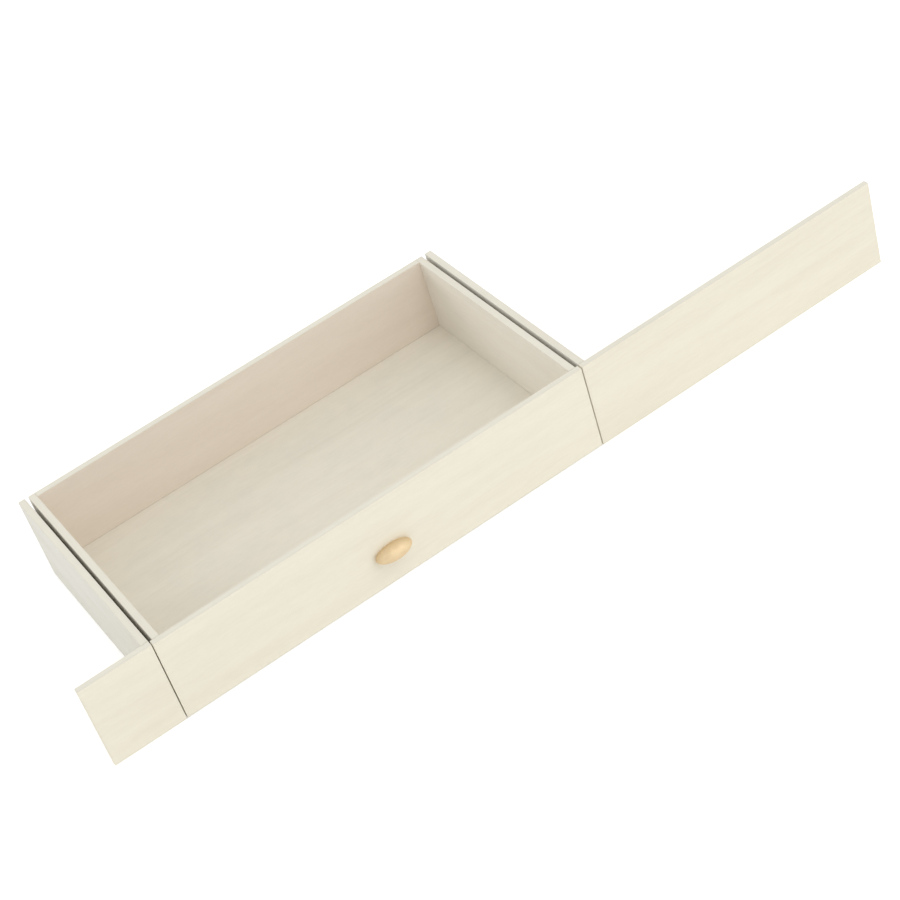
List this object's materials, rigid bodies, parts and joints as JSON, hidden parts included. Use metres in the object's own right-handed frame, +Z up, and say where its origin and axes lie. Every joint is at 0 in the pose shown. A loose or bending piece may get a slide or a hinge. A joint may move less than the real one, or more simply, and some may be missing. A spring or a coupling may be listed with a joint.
{
  "type": "under desk drawer",
  "caption": "Wide shallow wooden drawer on ball slides between two hanger boards, flush between a short and a long fascia panel, with an oval brass knob.",
  "frame": {"origin": "centre of the footprint, at the height of the boards' bottom edges", "axes": "+X to the right along the front, +Y from the front face to the back, +Z up; the drawer opens along -Y"},
  "size_m": [1.103, 0.3586, 0.12],
  "materials": {
    "front_wood": "whitewashed wood, matt, fine grain along the board",
    "fascia_wood": "whitewashed wood, matt, fine grain along the board",
    "board_wood": "whitewashed wood, matt, a little greyer",
    "tray_wood": "pale warm wood, matt",
    "dowel_wood": "plain hardwood",
    "rail_steel": "zinc plated, satin",
    "cage_steel": "zinc plated, satin",
    "screw_steel": "zinc plated, bright",
    "brass": "satin brass"
  },
  "bodies": {
    "frame": {"left_fascia_panel": "fascia_wood", "left_hanger_board": "board_wood", "left_fixed_rail": "rail_steel", "left_fixed_rail_screw_1": "screw_steel", "left_fixed_rail_screw_2": "screw_steel", "left_fixed_rail_screw_3": "screw_steel", "left_fascia_dowel_low": "dowel_wood", "left_fascia_dowel_high": "dowel_wood", "right_fascia_panel": "fascia_wood", "right_hanger_board": "board_wood", "right_fixed_rail": "rail_steel", "right_fixed_rail_screw_1": "screw_steel", "right_fixed_rail_screw_2": "screw_steel", "right_fixed_rail_screw_3": "screw_steel", "right_fascia_dowel_low": "dowel_wood", "right_fascia_dowel_high": "dowel_wood"},
    "drawer": {"drawer_front": "front_wood", "drawer_left_side": "tray_wood", "drawer_right_side": "tray_wood", "drawer_back": "tray_wood", "drawer_floor": "tray_wood", "knob": "brass", "knob_screw": "screw_steel", "left_moving_rail": "rail_steel", "left_moving_rail_screw_1": "screw_steel", "left_moving_rail_screw_2": "screw_steel", "left_moving_rail_screw_3": "screw_steel", "left_front_dowel_low": "dowel_wood", "left_front_dowel_high": "dowel_wood", "left_back_dowel_low": "dowel_wood", "left_back_dowel_high": "dowel_wood", "right_moving_rail": "rail_steel", "right_moving_rail_screw_1": "screw_steel", "right_moving_rail_screw_2": "screw_steel", "right_moving_rail_screw_3": "screw_steel", "right_front_dowel_low": "dowel_wood", "right_front_dowel_high": "dowel_wood", "right_back_dowel_low": "dowel_wood", "right_back_dowel_high": "dowel_wood"},
    "left_cage": {"left_ball_cage": "cage_steel"},
    "right_cage": {"right_ball_cage": "cage_steel"}
  },
  "joints": [
    {"name": "drawer_slide", "type": "slide", "parent": "frame", "child": "drawer", "axis": [0, -1, 0], "range_m": [0, 0.23]},
    {"name": "left_cage_slide", "type": "slide", "parent": "frame", "child": "left_cage", "axis": [0, -1, 0], "range_m": [0, 0.115]},
    {"name": "right_cage_slide", "type": "slide", "parent": "frame", "child": "right_cage", "axis": [0, -1, 0], "range_m": [0, 0.115]}
  ],
  "couplings": [
    {"joint": "left_cage_slide", "follows": "drawer_slide", "ratio": 0.5},
    {"joint": "right_cage_slide", "follows": "drawer_slide", "ratio": 0.5}
  ]
}
